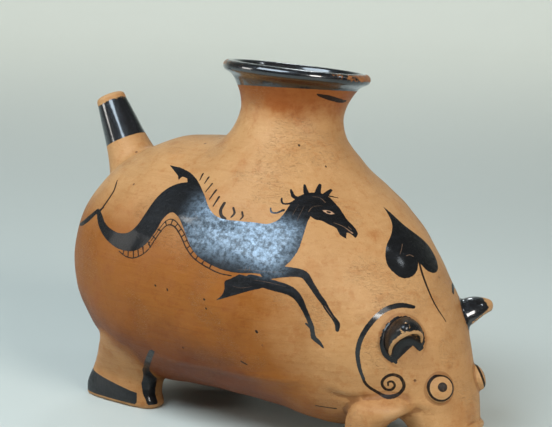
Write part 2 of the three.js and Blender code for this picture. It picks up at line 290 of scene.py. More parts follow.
def neck_place(p, back=0):
    """Distance from the neck's axis and height along it: level at the root, square to the axis above."""
    offset = p - NECK_FOOT
    offset[:, 0] += back * (1 - ease(offset[:, 2], 6, 20))
    leaned = offset @ NECK_AXIS
    radius_leaned = np.linalg.norm(offset - np.outer(leaned, NECK_AXIS), axis=1)
    level = offset[:, 2] / NECK_AXIS[2]
    radius_level = np.linalg.norm((offset - np.outer(level, NECK_AXIS))[:, :2], axis=1)
    share = ease(leaned, 6, THROAT_HEIGHT)
    return radius_level + (radius_leaned - radius_level) * share, level + (leaned - level) * share


def spout_place(p):
    """Distance from the spout's axis and height along it."""
    offset = p - SPOUT_FOOT
    h = offset @ SPOUT_AXIS
    return np.linalg.norm(offset - np.outer(h, SPOUT_AXIS), axis=1), h


def leg_field(p, rings):
    """Distance from the skin of one pair of legs."""
    table = spline(rings, 60)
    x, y, half_x, half_y = (np.interp(p[:, 2], table[:, 0], table[:, k]) for k in range(1, 5))
    q, du, dv = power_norm((p[:, 0] - x) / half_x, (np.abs(p[:, 1]) - y) / half_y, LEG_SQUARENESS)
    distance = (q - 1) / np.hypot(du / half_x, dv / half_y)
    return np.maximum(distance, p[:, 2] - rings[-1][0])


def mirrored(p):
    """The points with the right side turned over onto the left one."""
    return np.stack([p[:, 0], np.abs(p[:, 1]), p[:, 2]], 1)


def ear_frame(side):
    """Directions across, out of and along an ear; the left one points lower than the right one."""
    along = unit(EAR_TIP - (0, 0, side * EAR_LIFT) - EAR_ROOT)
    facing = unit(EAR_FACING - along * (EAR_FACING @ along))
    return np.stack([np.cross(facing, along), facing, along])


EAR_FRAMES = ear_frame(-1), ear_frame(1)
EAR_TABLE = spline(EAR_PROFILE, 40)


def ear_place(p):
    """Places across, out of and along the ear on the same side, both counted in the right one's length."""
    offset = mirrored(p) - EAR_ROOT
    far = EAR_FRAMES[1] @ offset.T * ((1,), (1,), (FAR_EAR_STRETCH,))
    return np.where(p[:, 1] < 0, EAR_FRAMES[0] @ offset.T, far)


def on_ear(broad, facing):
    """Which points lie beside an ear's middle line."""
    return (np.abs(broad) < 8) & (np.abs(facing) < 8)


def ear_cup(broad, facing, along):
    """About how far a point is outside the hollow scooped from the ear's front."""
    places = zip((broad, facing, along), EAR_CUP_AT, EAR_CUP_REACH)
    u, v, w = ((value - middle) / reach for value, middle, reach in places)
    return (np.hypot(power_norm(u, v, 2)[0], w) - 1) * 5


def ear_field(p):
    """Distance from the ears' skin."""
    broad, facing, along = ear_place(p)
    scale = np.interp(along, EAR_TABLE[:, 0], EAR_TABLE[:, 1])
    half_u, half_v = EAR_HALF_WIDTH * scale, EAR_HALF_THICKNESS * scale
    q, du, dv = power_norm(broad / half_u, facing / half_v, 2.2)
    leaf = (q - 1) / np.hypot(du / half_u, dv / half_v)
    leaf = smax(leaf, along - EAR_LENGTH, 0.6)
    return np.maximum(smax(leaf, -ear_cup(broad, facing, along), RIM_EDGE), EAR_PROFILE[0][0] - along)


def eye_place(p):
    """Offsets from the eye on the same side, heights out of it and distances from its middle line."""
    offset = mirrored(p) - EYE_AT
    offset[:, 2] += np.sign(p[:, 1]) * EYE_LIFT
    axis = unit(EYE_AXIS)
    h = offset @ axis
    return offset, h, np.linalg.norm(offset - np.outer(h, axis), axis=1)


def eye_field(p):
    """Distance from the skin of the eyes' low discs."""
    _, h, r = eye_place(p)
    dome = EYE_RISE - EYE_CROWN * (r / EYE_RADIUS) ** 2
    return np.maximum(smax(r - EYE_RADIUS, h - dome, 1.2), -4 - h)


SNOUT_MIDDLE = np.array((MIDDLES[-1][0], 0, MIDDLES[-1][1]))
SNOUT_FORWARD = np.array((FORWARDS[-1][0], 0, FORWARDS[-1][1]))


def near(p, room, field, *rest):
    """A field where the points lie near a piece, and far away elsewhere."""
    found = np.full(len(p), 60.0)
    close = ((p > np.asarray(room[0])) & (p < np.asarray(room[1]))).all(1)
    if close.any():
        found[close] = field(p[close], *rest)
    return found


def modelling(p):
    """How far the fingers that shaped the clay left it proud of the even form."""
    x, y, z = p[:, 0], np.abs(p[:, 1]), p[:, 2]
    swell = 0.14 * np.sin(0.21 * x + 0.13 * p[:, 1] - 0.17 * z + 0.6)
    swell += 0.1 * np.sin(0.35 * z + 0.16 * x + 2.2)
    swell += 0.08 * np.sin(0.47 * x - 0.3 * z + 0.2 * p[:, 1] + 4)
    low = z - (24.6 + 0.03 * x)
    ridge = 0.55 * np.exp(-(low / 1.5) ** 2) - 0.5 * np.exp(-((low + 4) / 3) ** 2)
    swell += ridge * ease(x, -24, -14) * ease(x, 38, 26) * ease(y, 28, 36)
    fold = z - np.interp(x, (40, 44.8, 52.5, 61, 70.4), (23.6, 22, 21.5, 20.2, 18))
    cheek = 0.5 * np.exp(-((fold - 1.4) / 1.6) ** 2) - 0.7 * np.exp(-((fold + 0.9) / 1.1) ** 2)
    return swell + cheek * ease(x, 38, 44) * ease(x, 72, 62) * ease(y, 8, 14)


def outer_field(p):
    """Distance from the outside of the clay, as if it were solid, and where the points lie along the body."""
    at = section_of(p)
    skin = smax(body_field(p, at) - modelling(p), at.past_end, SNOUT_EDGE)
    neck = near(p, NECK_ROOM, lambda q: outline_field(*neck_place(q, SKIRT_BACK), NECK_OUTLINE))
    skin = smin(skin, neck, NECK_FILLET)
    spout = near(p, SPOUT_ROOM, lambda q: outline_field(*spout_place(q), SPOUT_OUTLINE))
    skin = smin(skin, spout, SPOUT_FILLET)
    skin = smin(skin, near(p, HIND_LEG_ROOM, leg_field, HIND_LEG), HIND_LEG_FILLET)
    skin = smin(skin, near(p, FRONT_LEG_ROOM, leg_field, FRONT_LEG), FRONT_LEG_FILLET)
    skin = smin(skin, near(p, EAR_ROOM, ear_field), EAR_FILLET)
    return smin(skin, near(p, EYE_ROOM, eye_field), EYE_FILLET), at


def nostril_field(p):
    """Distance from the two blind nostril holes, which narrow inwards."""
    offset = mirrored(p) - SNOUT_MIDDLE - np.array((0, NOSTRIL_SPREAD, 0))
    h = offset @ SNOUT_FORWARD
    r = np.linalg.norm(offset - np.outer(h, SNOUT_FORWARD), axis=1)
    return np.maximum(r - NOSTRIL_RADIUS - 0.1 * h, -3 - h)


def field(p):
    """Signed distance to the vessel's clay, negative inside it."""
    skin, at = outer_field(p)
    skin = smax(skin, -near(p, NOSTRIL_ROOM, nostril_field), CUT_EDGE)
    skin = smax(skin, -p[:, 2], CUT_EDGE)
    room = smax(body_field(p, at) + WALL, at.past_cavity, CAVITY_EDGE)
    bore = near(p, BORE_ROOM, lambda q: outline_field(*neck_place(q), BORE_OUTLINE))
    room = smin(room, bore, BORE_FILLET)
    pipe = near(p, PIPE_ROOM, lambda q: spout_place(q)[0] - SPOUT_BORE)
    return smax(skin, -np.minimum(room, pipe), RIM_EDGE)


def gradient(p, step=0.04):
    """Slope of the field by four samples at the corners of a tetrahedron."""
    total = np.zeros_like(p)
    for corner in ((1, -1, -1), (-1, -1, 1), (-1, 1, -1), (1, 1, 1)):
        corner = np.array(corner, float)
        total += corner * field(p + corner * step)[:, None]
    return total / (4 * step)


def settle(p, rounds):
    """Moves points onto the clay's surface."""
    for _ in range(rounds):
        slope = gradient(p)
        length = np.maximum((slope * slope).sum(1), 0.04)
        move = slope * (field(p) / length)[:, None]
        reach = np.linalg.norm(move, axis=1)
        move *= (np.minimum(reach, 1.5) / np.maximum(reach, 1e-9))[:, None]
        p = p - move
    return p


# The painted figures are drawn on charts in millimetres of skin.
def lift_round(p, at):
    """Angle round the body's section, from level with its middle up to its back."""
    return np.arctan2(at.up / at.half_height, np.abs(p[:, 1]) / at.half_width)


def flank_chart(p):
    """Length along the animal and height round its side, in millimetres of skin, the same on both flanks."""
    at = section_of(p)
    turned = np.arcsin(np.clip(at.rump, 0, 1))
    u = np.where(at.rump > 0, -RUMP_LENGTH * turned, at.along)
    return np.stack([u, lift_round(p, at) * (at.half_height + at.half_width) / 2 * np.cos(turned)], 1)


PATCH_DEPTH, OFF_CHART = 12, 99


def patch(p, middle, out, down):
    """Places on a plane that touches the skin, with the second coordinate running up it."""
    out = unit(out)
    across = unit(np.cross(out, down))
    offset = p - np.array(middle)
    spot = np.stack([offset @ across, offset @ np.cross(out, across)], 1)
    spot[np.abs(offset @ out) > PATCH_DEPTH] = OFF_CHART
    return spot


def curve(points, per=6):
    """A smooth line with a few steps between the given points."""
    return spline(points, per * (len(points) - 1) + 1)


def segments(spot, a, b, half_a, half_b, closed=False):
    """Signed distance to a tapering line through points, or to the edge of a closed shape."""
    best = np.full(len(spot), FAR_AWAY)
    inside = np.zeros(len(spot), bool)
    edge = b - a
    for k in range(len(a)):
        d = spot - a[k]
        w = np.clip((d @ edge[k]) / max(edge[k] @ edge[k], 1e-9), 0, 1)
        reach = np.hypot(d[:, 0] - w * edge[k, 0], d[:, 1] - w * edge[k, 1])
        best = np.minimum(best, reach - half_a[k] - (half_b[k] - half_a[k]) * w)
        if closed and a[k, 1] != b[k, 1]:
            crossed = (a[k, 1] > spot[:, 1]) != (b[k, 1] > spot[:, 1])
            crossing = a[k, 0] + (spot[:, 1] - a[k, 1]) / edge[k, 1] * edge[k, 0]
            inside ^= crossed & (spot[:, 0] < crossing)
    return np.where(inside, -best, best) if closed else best


def put(found, spot, line, halves=None):
    """Adds a brush stroke, or with no widths a filled shape, to a map of distances."""
    line = np.asarray(line, float)
    low, high = line.min(0) - 4, line.max(0) + 4
    close = ((spot > low) & (spot < high)).all(1)
    if not close.any():
        return
    if halves is None:
        a, b = line, np.roll(line, -1, 0)
        value = segments(spot[close], a, b, np.zeros(len(a)), np.zeros(len(a)), closed=True)
    else:
        halves = np.interp(np.linspace(0, 1, len(line)), np.linspace(0, 1, len(halves)), halves)
        value = segments(spot[close], line[:-1], line[1:], halves[:-1], halves[1:])
    found[close] = np.minimum(found[close], value)


# The sea-horse's outline runs along its tail, mane and head, and back along its chest and belly.
SEA_HORSE_BODY = [
    [(-26.2, 19.2), (-22.2, 18.6), (-16.5, 16.2), (-9.8, 15.2), (-4.7, 16.4), (-2.0, 19.8), (-1.0, 24.7),
     (-0.2, 30), (1.6, 34.4), (4.4, 37.2), (7.6, 38.3)],
    [(6.2, 39.8), (3.9, 40.1), (3.6, 38.4)],
    [(1.8, 40.3), (-0.9, 41.8), (-4.4, 43.6)],
    [(-0.3, 43.9), (4.8, 42.6), (9.6, 40.3), (14, 37.4), (18.2, 34.1), (21.6, 31), (25.1, 28.8), (29, 28.1),
     (33.5, 28.9), (38, 30), (42, 31), (44, 33.4), (44.3, 37), (44, 41), (44.4, 44.4), (45.8, 47)],
    [(47.5, 48.7), (49.8, 49.2), (52, 48.3), (54.4, 46.8), (57.8, 43.9), (60.8, 42.3), (62.6, 40.5)],
    [(62.9, 38.7), (61.2, 39.3), (60.3, 39.2)],
    [(61.4, 36.9), (59.5, 37.2), (57.8, 38.8), (55.6, 39), (53.6, 39.2), (52.2, 38.6), (50.6, 38.9)],
    [(51.2, 36), (52.4, 31.5), (53.3, 27), (53.2, 23.2), (52.4, 19.8), (52, 16.8)],
    [(49.6, 15.8), (45.2, 14.5), (39.8, 12.8), (35, 12.4), (30, 12.9), (25.1, 14.4), (21.4, 17), (18, 20.2),
     (14.8, 23.4), (11.5, 25.9), (8.4, 26.5), (6.5, 24), (5.8, 19.2), (4.1, 14.7), (0.8, 11.7), (-3, 10.5),
     (-8.5, 10.4), (-15.2, 12.1), (-21.8, 15), (-26, 17.9)],
]
BELLY_FIN = [
    [(41, 12.7), (38.6, 10.4), (37, 9), (37.5, 6.6), (37, 4.2), (35, 1.8)],
    [(39, 4.2), (42.7, 6.7), (46, 9), (49, 11.2), (50, 13.6)],
]
# Brush strokes for legs, tail tip and mane: points, and half widths spaced evenly along them.
BLACK_STROKES = [
    ([(49, 16.4), (54.4, 19.2), (57.8, 20.2), (60.4, 18.6), (63.4, 16.4), (65.6, 15)],
     (2.2, 1.5, 1.25, 0.9, 0.8, 0.75)),
    ([(65.6, 15), (67.4, 13.4), (69, 12.2), (70.7, 10.8), (71.3, 9)], (0.75, 0.65, 0.6, 0.75, 0.5)),
    ([(45, 12.4), (51.6, 13.2), (56.2, 13.8), (59, 13), (61.4, 10.8), (63.6, 8.4), (65, 6.6)],
     (1.6, 1.7, 1.5, 1.2, 0.85, 0.7, 0.7)),
    ([(65, 6.6), (65.8, 4.8), (66.4, 3.6), (67.8, 3), (69.4, 2)], (0.75, 0.6, 0.8, 0.7, 0.25)),
    ([(63.4, 6.6), (64.8, 6.2)], (0.3, 0.45)),
    ([(-26, 18.4), (-31, 14), (-36, 11), (-42, 9)], (0.9, 1.2, 0.9, 0.2)),
    ([(-25.4, 18), (-22.6, 20.6)], (0.7, 0.35)),
    ([(40.2, 36.4), (41.2, 35.2), (42.6, 35.7), (43.6, 37.4)], (0.22, 0.3, 0.3, 0.4)),
    ([(41, 41), (42.1, 39.5), (43.5, 40), (44.4, 41.4)], (0.24, 0.3, 0.3, 0.4)),
    ([(41.5, 45), (43.4, 43.2), (45.2, 43.4)], (0.25, 0.6, 0.8)),
    ([(43.4, 48.6), (45, 46.6), (46.4, 45.4)], (0.3, 0.7, 0.9)),
    ([(46.1, 51.6), (46.9, 49.4), (47.8, 47.6)], (0.35, 0.65, 0.9)),
    ([(48.9, 52.2), (49, 50.4), (49.2, 48.6)], (0.35, 0.55, 0.8)),
]
# Thinner gloss that fired brown: the fin's rays, the tail's curl and the belly's double line.
BROWN_STROKES = [
    ([(11.3, 42.2), (12, 39.6)], (0.38, 0.22)),
    ([(14.8, 41), (14.9, 38.6)], (0.4, 0.22)),
    ([(17.9, 38.8), (17.5, 35.6)], (0.38, 0.2)),
    ([(20.9, 36.8), (20.6, 33.4)], (0.42, 0.24)),
    ([(23.4, 34.8), (23.3, 31.4)], (0.4, 0.24)),
    ([(26.4, 33.2), (26.5, 30.8), (27.7, 29.1), (29.4, 28.2)], (0.55, 0.55, 0.5, 0.6)),
    ([(30, 32.6), (31.3, 31), (31, 29.4)], (0.3, 0.4, 0.25)),
    ([(33.2, 32.2), (34.2, 30.8), (34, 29.6)], (0.25, 0.32, 0.2)),
    ([(-23.6, 19.4), (-22, 23.4), (-21.6, 27.4), (-24, 31)], (0.5, 0.5, 0.45, 0.3)),
    ([(-6.3, 9.6), (-2.4, 8.6), (1.5, 9.4), (5.4, 12.6), (7.1, 17.3), (8.3, 20.9), (10, 22.3),
      (12.9, 21.8), (16.6, 19.2), (19.8, 16.2), (23.9, 13.5), (28.9, 11.8), (34.1, 11), (38.6, 11.4)],
     (0.2, 0.24, 0.24, 0.2)),
    ([(4.9, 14.3), (6.4, 18.6), (7.5, 22.4), (9.2, 24.2), (12.3, 23.7), (17, 20.7), (20.4, 17.5),
      (24.5, 14.9)], (0.16, 0.2, 0.2, 0.16)),
    ([(50, 49.6), (51.6, 50.8)], (0.3, 0.15)),
    ([(60.5, 39.3), (59.4, 38.2)], (0.2, 0.1)),
    ([(53, 43.4), (53.3, 43.5)], (0.42, 0.42)),
]
RIB_HALVES = (0.26, 0.22)
RIBS = [
    ((-4.4, 10.6), (-4.2, 9)), ((-2.4, 10.7), (-2, 8.8)), ((-0.4, 11.4), (0.2, 9.1)),
    ((1.2, 12.2), (2.2, 9.8)), ((2.8, 13.6), (3.9, 11.2)), ((4.6, 15.2), (6, 13.6)),
    ((5.6, 17.4), (7.1, 16.6)), ((6.3, 20), (8, 19.6)), ((7.8, 23.2), (9, 21.8)),
    ((10.4, 24.2), (10.6, 22.4)), ((13.2, 23.2), (12.6, 22)), ((15.4, 21.8), (14.6, 20.6)),
    ((17.4, 20.2), (16.6, 19.2)), ((19.2, 18.6), (18.3, 17.6)), ((21, 17), (20.2, 15.8)),
    ((23, 15.6), (22.4, 14.4)), ((25.2, 14.4), (24.8, 13.1)), ((27.8, 13.6), (27.4, 12.2)),
    ((30.6, 12.8), (30.4, 11.5)),
]
SEA_HORSE_EYE = [
    [(51.5, 43), (52.4, 43.9), (53.6, 44.3), (54.7, 43.9)], [(54.2, 43), (53.2, 42.6), (52.2, 42.6)],
]
# Lines scraped through the gloss to the clay.
SCRAPED_STROKES = [
    ([(50.6, 46.4), (48.8, 47), (47.2, 46.2)], (0.14, 0.1)),
    ([(49.4, 40.2), (49.3, 42.6), (50.8, 44.6)], (0.12, 0.06)),
    ([(56.2, 40.4), (58.6, 40.6), (60.2, 40.2), (61.4, 39.9)], (0.1, 0.16, 0.3)),
    ([(59.6, 41.4), (60.6, 41)], (0.12, 0.12)),
    ([(46.6, 36.8), (45.9, 41.2)], (0.07, 0.05)),
    ([(48.6, 35.6), (47.4, 41.6)], (0.07, 0.05)),
    ([(17.6, 28.4), (20.4, 26), (22.6, 23)], (0.08, 0.05)),
    ([(19, 24), (22.2, 20.6), (24.2, 18)], (0.07, 0.04)),
    ([(40, 13.9), (44, 15.2), (49, 16.6), (53, 18.4)], (0.06, 0.09, 0.06)),
    ([(42.4, 14.2), (42.2, 16)], (0.08, 0.08)),
    ([(43.6, 14.5), (43.4, 16.4)], (0.08, 0.08)),
    ([(46.2, 12.6), (50.6, 13.6), (55, 14.4)], (0.06, 0.1, 0.06)),
    ([(39.4, 8.4), (42.6, 8.6), (46, 10.4)], (0.06, 0.08, 0.05)),
    ([(66.2, 14.2), (67.8, 13), (69.4, 11.8)], (0.1, 0.14, 0.1)),
]

# How much further back and lower the left flank's sea-horse sits.
FAR_FLANK_OFFSET = (7, 5)
# Patches: middle, direction out of the skin and direction down the picture.
LEAF_PATCH = ((47.9, 1.9, 66.2), (0.728, 0.02, 0.685), (0.685, 0, -0.728))
LEAF = [
    [(-0.9, 13.8), (-1.9, 10.4), (-3.4, 7), (-7, 3.8), (-12, 0.6), (-14.8, -3.4), (-14.8, -7),
     (-12.8, -10.2), (-9.2, -11), (-5.6, -9.8), (-3.2, -7.4)],
    [(-2.4, -8.6), (-1.2, -10.9), (1.4, -12.2), (4.4, -12), (7.2, -10.4), (9.2, -7.2), (9, -3),
     (5.2, 1.7), (2, 6.4), (0.2, 10.4)],
]
LEAF_MARKS = [
    ([(-5.2, -0.4), (-6.6, -1.6), (-8.8, -3.2)], (0.14, 0.1)),
    ([(-6.8, -4.4), (-5.2, -4.5), (-4, -5.4)], (0.12, 0.16)),
]
LEAF_STEM = [(-2.8, -7.6), (-4.4, -12), (-5, -17), (-4.6, -22.4), (-3.4, -27.5)]
LEAF_STEM_HALVES = (0.5, 0.45, 0.34, 0.16)
CURL_PATCH = ((54.5, 25.5, 36.5), (0.55, 0.83, 0.05), (0, 0, -1))
CURL_BRUSHED = [
    (-11, 13.2), (-7, 14), (-2.5, 13.1), (1.3, 10), (4.4, 5.4), (5.6, 0.4), (4.8, -4.7), (3.4, -8.4),
]
CURL_BRUSHED_HALVES = (0.45, 0.75, 0.75, 0.8, 0.75, 0.6, 0.4)
CURL_THIN = [
    (4.8, -4.7), (2.7, -10), (-1.9, -13.1), (-4.6, -13.5), (-7.4, -12.5), (-8.8, -10), (-7.6, -7.3),
    (-5, -6.5), (-2.8, -7.7), (-2.1, -9.6), (-3.2, -11.3), (-5, -11.4), (-6, -10), (-5.2, -8.7),
    (-4, -9), (-4, -10),
]
CURL_THIN_HALVES = (0.4, 0.55, 0.5, 0.45, 0.4, 0.3)
# The black gloss in the hollow under each ear, partly painted shadow, in the same patch as the curl.
EAR_SHADOW = [
    (-1.6, 6.4), (-1, 4.1), (-1.1, 2), (-2, -0.4), (-3.9, -2.2), (-5.4, -2.5), (-6.9, -1.5), (-9, 0.5),
    (-11, 2.4), (-12.4, 4.6), (-12, 8), (-6, 10),
]
# Specks and short dashes on the near side: both ends and the half width of each.
MARKS = [
    ((15.5, -41.4, 30.2), (17.4, -40.8, 29.5), 0.3), ((35, -28.4, 17.1), (40.4, -25.3, 16.5), 0.35),
    ((-15.6, -46.1, 49.9), (-15.3, -46.1, 49.7), 0.3), ((-10.6, -46.2, 49.5), (-10.4, -46.2, 49.1), 0.3),
    ((4.1, -45.8, 48.8), (4.4, -45.8, 48.7), 0.35), ((4.9, -45.8, 46.1), (5.1, -45.8, 45.9), 0.3),
    ((22.2, -42.9, 41.4), (22.5, -42.8, 41.1), 0.4), ((22.2, -8.7, 88.1), (22.3, -8.7, 87.7), 0.4),
    ((13.8, -11.9, 93.8), (13.9, -11.9, 93.6), 0.35), ((2.5, -46, 55.6), (3.4, -46, 54.4), 0.22),
]


def painted_places(p):
    """The flanks' chart, shifted so that the same figure falls in its place on each of them."""
    return flank_chart(p) + np.outer(p[:, 1] > 0, FAR_FLANK_OFFSET)


def strokes(spot, shapes, lines):
    """Distances to filled shapes and brush strokes on a chart."""
    found = np.full(len(spot), FAR_AWAY)
    for shape in shapes:
        put(found, spot, np.concatenate([curve(part) for part in shape]))
    for line, halves in lines:
        put(found, spot, curve(line) if len(line) > 2 else line, halves)
    return found


def paint(p):
    """Distances to the edges of the black gloss, the thin brown lines and the scraped lines."""
    spot = painted_places(p)
    gloss = strokes(spot, [SEA_HORSE_BODY, BELLY_FIN], BLACK_STROKES)
    brown = strokes(spot, [], BROWN_STROKES + [(rib, RIB_HALVES) for rib in RIBS])
    scraped = strokes(spot, [SEA_HORSE_EYE], SCRAPED_STROKES)
    spot = patch(p, *LEAF_PATCH)
    gloss = np.minimum(gloss, strokes(spot, [LEAF], []))
    brown = np.minimum(brown, strokes(spot, [], [(LEAF_STEM, LEAF_STEM_HALVES)]))
    scraped = np.minimum(scraped, strokes(spot, [], LEAF_MARKS))
    spot = patch(mirrored(p), *CURL_PATCH)
    # The ear's hollow is black gloss, partly painted shadow.
    gloss = np.minimum(gloss, strokes(spot, [[EAR_SHADOW]], [(CURL_BRUSHED, CURL_BRUSHED_HALVES)]))
    brown = np.minimum(brown, strokes(spot, [], [(CURL_THIN, CURL_THIN_HALVES)]))
    for start, end, half in MARKS:
        start, along = np.array(start), np.array(end) - start
        share = np.clip((p - start) @ along / (along @ along), 0, 1)
        brown = np.minimum(brown, np.linalg.norm(p - start - np.outer(share, along), axis=1) - half)
    return gloss, brown, scraped


# Bands of paint on the modelled parts.
LIP_BAND_FOOT, LIP_BAND_SLOPE, BORE_BAND_FOOT = 37.4, 1.4, 22
# The brush's smear under the lip, by degrees round the neck and height up it.
LIP_SMEAR = [(-33, 36.9), (-20, 36.3), (-4, 35.5), (22, 35)]
LIP_SMEAR_HALVES = (0.3, 0.8, 0.7, 0.15)
SPOUT_BAND_MIDDLE, SPOUT_BAND_HALF = 28, 7.4
# The hind foot's band: x and height of its upper edge, then its foot and its front end.
FOOT_BAND_TOP = [(-62, 9.6), (-52, 7.6), (-45, 6.4), (-38, 5.2)]
FOOT_BAND_FOOT, FOOT_BAND_FRONT = 1.3, -38.4
# The stripe up the hind leg's front: heights and x.
FOOT_STRIPE = [(26.7, -21.2), (21.8, -26.2), (14.7, -33.6), (8.7, -36.5), (4.8, -35.5), (2.6, -34)]
FOOT_STRIPE_HALF, FOOT_STRIPE_LOW, FOOT_STRIPE_HIGH = 1.3, 1.6, 26.4
FRONT_BAND_MIDDLE, FRONT_BAND_HALF = 3.4, 2.1
EAR_PAINT_FOOT = 1.4
EYE_RING, EYE_RING_HALF, EYE_RING_RISE = 3.95, 0.46, 0.8
PUPIL_AT, PUPIL_RADIUS = np.array((0.3, -0.05, 0.3)), 1.5


def neck_bands(p):
    """The gloss inside and outside the lip, and the brown smear below it."""
    radius, height = neck_place(p)
    in_bore = np.abs(outline_field(radius, height, BORE_OUTLINE)) < 0.7
    on_neck = (radius < 27) & (height > 12)
    edge = LIP_BAND_FOOT + LIP_BAND_SLOPE * p[:, 0] / np.maximum(radius, 1)
    gloss = np.where(on_neck, np.where(in_bore, BORE_BAND_FOOT - height, edge - height), FAR_AWAY)
    brown = np.full(len(p), FAR_AWAY)
    smear = np.stack([np.degrees(np.arctan2(p[:, 1] - 4, p[:, 0])), height], 1)
    smear[radius > 27] = 999
    put(brown, smear, curve(LIP_SMEAR), LIP_SMEAR_HALVES)
    return gloss, brown


def hind_foot_bands(p, gloss):
    """The gloss with the band round each hind foot and the stripe up its front."""
    y = np.abs(p[:, 1])
    table = spline(HIND_LEG, 40)
    leg_x, leg_y, half_x, half_y = (np.interp(p[:, 2], table[:, 0], table[:, k]) for k in range(1, 5))
    by_leg = (np.abs(p[:, 0] - leg_x) < half_x + 3) & (np.abs(y - leg_y) < half_y + 4) & (p[:, 2] < 28)
    top = np.interp(p[:, 0], *zip(*FOOT_BAND_TOP))
    band = np.abs(p[:, 2] - (top + FOOT_BAND_FOOT) / 2) - (top - FOOT_BAND_FOOT) / 2
    band = np.maximum(band, p[:, 0] - FOOT_BAND_FRONT)
    stripe = np.interp(p[:, 2], *zip(*FOOT_STRIPE[::-1]))
    stripe = np.maximum(np.abs(p[:, 0] - stripe - 0.3) - FOOT_STRIPE_HALF, leg_y + 0.1 * half_y - y)
    stripe = np.maximum(stripe, np.maximum(FOOT_STRIPE_LOW - p[:, 2], p[:, 2] - FOOT_STRIPE_HIGH))
    return np.where(by_leg, np.minimum(gloss, np.minimum(band, stripe)), gloss)


def bands(p):
    """Distances to the black bands on lip, spout, feet and ears, and to the brown rings of the eyes."""
    gloss, brown = neck_bands(p)
    radius, height = spout_place(p)
    spout_band = np.abs(height - SPOUT_BAND_MIDDLE) - SPOUT_BAND_HALF
    gloss = np.where((radius < 9) & (height > 8), spout_band, gloss)
    gloss = hind_foot_bands(p, gloss)
    by_foot = (np.abs(p[:, 0] - 50.2) < 10) & (np.abs(np.abs(p[:, 1]) - 20.5) < 9) & (p[:, 2] < 8)
    gloss = np.where(by_foot, np.abs(p[:, 2] - FRONT_BAND_MIDDLE) - FRONT_BAND_HALF, gloss)
    broad, facing, along = ear_place(p)
    ear = on_ear(broad, facing) & (along > -3) & (ear_field(p) < 0.8)
    gloss = np.where(ear, EAR_PAINT_FOOT - along, gloss)
    offset, rise, flat = eye_place(p)
    pupil = np.linalg.norm(offset - PUPIL_AT - np.outer(rise, unit(EYE_AXIS)), axis=1) - PUPIL_RADIUS
    ring = np.maximum(np.abs(flat - EYE_RING) - EYE_RING_HALF, EYE_RING_RISE - rise)
    brown = np.where((flat < 8) & (rise > -3), np.minimum(ring, pupil), brown)
    return gloss, brown


# The skin's mesh: the grid in metres, its edges in millimetres.
WELD, VOXEL = 1e-5, 0.0014
RELAX_SHARE = 0.55
# Longest edges along the figures' outlines in each round of cutting, and how far off a straight run may be.
PAINT_EDGES = (0.8, 0.4, 0.24)
PAINT_SLACK = 0.035


def base_mesh():
    """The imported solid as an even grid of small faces, in millimetres."""
    copy = bpy.data.objects.new("grid_source", vessel.data.copy())
    bpy.context.scene.collection.objects.link(copy)
    weld = copy.modifiers.new("weld", "WELD")
    weld.merge_threshold = WELD
    remesh = copy.modifiers.new("remesh", "REMESH")
    remesh.mode = "VOXEL"
    remesh.voxel_size = VOXEL
    shown = copy.evaluated_get(bpy.context.evaluated_depsgraph_get())
    mesh = shown.to_mesh()
    points = np.empty(len(mesh.vertices) * 3)
    mesh.vertices.foreach_get("co", points)
    counts = np.empty(len(mesh.polygons), int)
    mesh.polygons.foreach_get("loop_total", counts)
    corners = np.empty(len(mesh.loops), int)
    mesh.loops.foreach_get("vertex_index", corners)
    shown.to_mesh_clear()
    bpy.data.objects.remove(copy)
    points = points.reshape(-1, 3) * 1000 - SHIFT
    starts = np.concatenate([[0], np.cumsum(counts)[:-1]])
    quads = corners[starts[counts == 4][:, None] + np.arange(4)]
    threes = corners[starts[counts == 3][:, None] + np.arange(3)]
    return points, quads, threes


def triangles(points, quads, threes):
    """Cuts each face with four corners along its shorter diagonal."""
    a, b, c, d = (points[quads[:, k]] for k in range(4))
    first = (np.linalg.norm(a - c, axis=1) < np.linalg.norm(b - d, axis=1))[:, None]
    one = np.where(first, quads[:, [0, 1, 2]], quads[:, [0, 1, 3]])
    two = np.where(first, quads[:, [0, 2, 3]], quads[:, [1, 2, 3]])
    return np.concatenate([one, two, threes])


def edges_of(faces):
    """Each edge once, and the three edges of each face."""
    pairs = np.sort(np.concatenate([faces[:, ends] for ends in ([0, 1], [1, 2], [2, 0])]), axis=1)
    edges, which = np.unique(pairs, axis=0, return_inverse=True)
    return edges, which.reshape(3, -1).T


def relax(points, faces, rounds):
    """Evens out the points along the surface."""
    edges, _ = edges_of(faces)
    ends = np.concatenate([edges, edges[:, ::-1]])
    count = np.bincount(ends[:, 0], minlength=len(points))[:, None]
    for _ in range(rounds):
        total = np.stack([np.bincount(ends[:, 0], points[ends[:, 1], k], len(points)) for k in range(3)], 1)
        points = settle(points + RELAX_SHARE * (total / np.maximum(count, 1) - points), 1)
    return points


